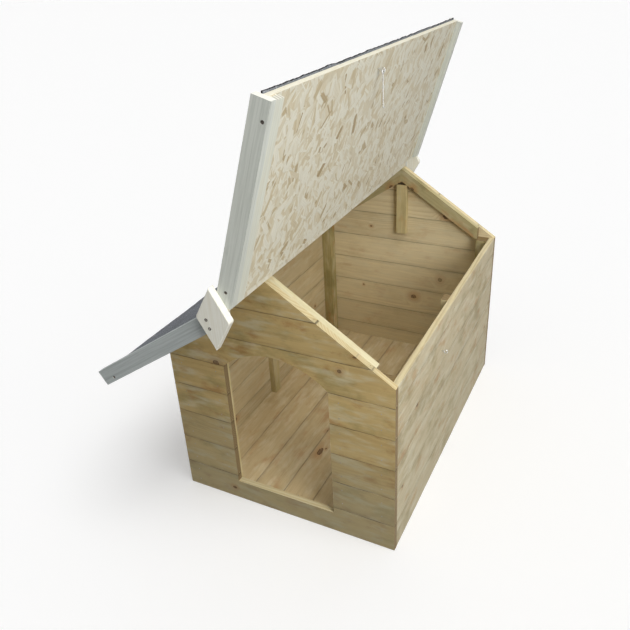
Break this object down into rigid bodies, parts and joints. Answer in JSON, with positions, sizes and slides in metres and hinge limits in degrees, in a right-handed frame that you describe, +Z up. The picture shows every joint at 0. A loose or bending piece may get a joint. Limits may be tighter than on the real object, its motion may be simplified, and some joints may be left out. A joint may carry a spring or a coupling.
{
  "type": "timber pet house",
  "caption": "Free-standing tongue-and-groove timber pet house with an arched doorway and an apex roof, one half of which is a felted lid hinged along the ridge.",
  "frame": {"origin": "centre of the house's footprint, on the ground", "axes": "+X to the right seen from the front, +Y from the front (doorway) to the back, +Z up"},
  "size_m": [0.6867, 1.1342, 1.1294],
  "materials": {
    "wall_pine": "rough-sawn treated softwood, unpainted",
    "floor_pine": "planed softwood, unpainted",
    "batten_pine": "sawn treated softwood",
    "osb": "oriented strand board",
    "felt": "mineral-surfaced roofing felt, matt",
    "painted_barge": "thin pale grey-green paint, satin",
    "painted_finial": "off-white paint, satin",
    "hinge_steel": "zinc plated, dull",
    "screw_steel": "dark plated, dull",
    "zinc_wire": "bright zinc plated wire",
    "nail_steel": "galvanised, dull"
  },
  "bodies": {
    "house": {"back_apex_board": "wall_pine", "back_boards": "wall_pine", "back_bottom_board": "wall_pine", "back_eave_board": "wall_pine", "back_gable_board": "wall_pine", "corner_post_back_left": "batten_pine", "corner_post_back_right": "batten_pine", "corner_post_front_left": "batten_pine", "corner_post_front_right": "batten_pine", "finial_back": "painted_finial", "finial_front": "painted_finial", "floor_bearer_back": "floor_pine", "floor_bearer_front": "floor_pine", "floor_bearer_middle": "floor_pine", "floor_boards": "floor_pine", "floor_nails": "nail_steel", "front_apex_board": "wall_pine", "front_arch_board": "wall_pine", "front_gable_board": "wall_pine", "front_jamb_boards_left": "wall_pine", "front_jamb_boards_right": "wall_pine", "front_sill_board": "wall_pine", "gable_batten_back": "batten_pine", "hinge_leaves_roof": "hinge_steel", "hinge_pins": "hinge_steel", "hinge_screws_roof": "screw_steel", "jamb_batten_left": "batten_pine", "jamb_batten_right": "batten_pine", "left_boards": "wall_pine", "left_bottom_board": "wall_pine", "left_eave_board": "wall_pine", "rafter_back_left": "batten_pine", "rafter_back_right": "batten_pine", "rafter_front_left": "batten_pine", "rafter_front_right": "batten_pine", "right_boards": "wall_pine", "right_bottom_board": "wall_pine", "right_eave_board": "wall_pine", "roof_barge_back": "painted_barge", "roof_barge_front": "painted_barge", "roof_batten": "batten_pine", "roof_felt": "felt", "roof_felt_nails": "nail_steel", "roof_panel": "osb", "roof_trim_screws": "screw_steel", "side_batten_left": "batten_pine", "side_batten_right": "batten_pine", "wall_nails": "nail_steel", "wall_screw_eye": "zinc_wire"},
    "lid": {"hinge_leaves_lid": "hinge_steel", "hinge_screws_lid": "screw_steel", "lid_barge_back": "painted_barge", "lid_barge_front": "painted_barge", "lid_barge_screws": "screw_steel", "lid_batten": "batten_pine", "lid_felt": "felt", "lid_felt_nails": "nail_steel", "lid_panel": "osb", "lid_screw_eye": "zinc_wire"},
    "hook": {"hook": "zinc_wire"}
  },
  "joints": [
    {"name": "lid_hinge", "type": "hinge", "parent": "house", "child": "lid", "pos_m": [0, 0, 0.71038], "axis": [0, -1, 0], "range_deg": [-106.38, 22]},
    {"name": "hook_swing", "type": "hinge", "parent": "lid", "child": "hook", "pos_m": [0.14774, -0.121, 1.08116], "axis": [0, -1, 0], "range_deg": [-22, 106.38]}
  ],
  "couplings": [
    {"joint": "hook_swing", "follows": "lid_hinge", "ratio": -1}
  ]
}
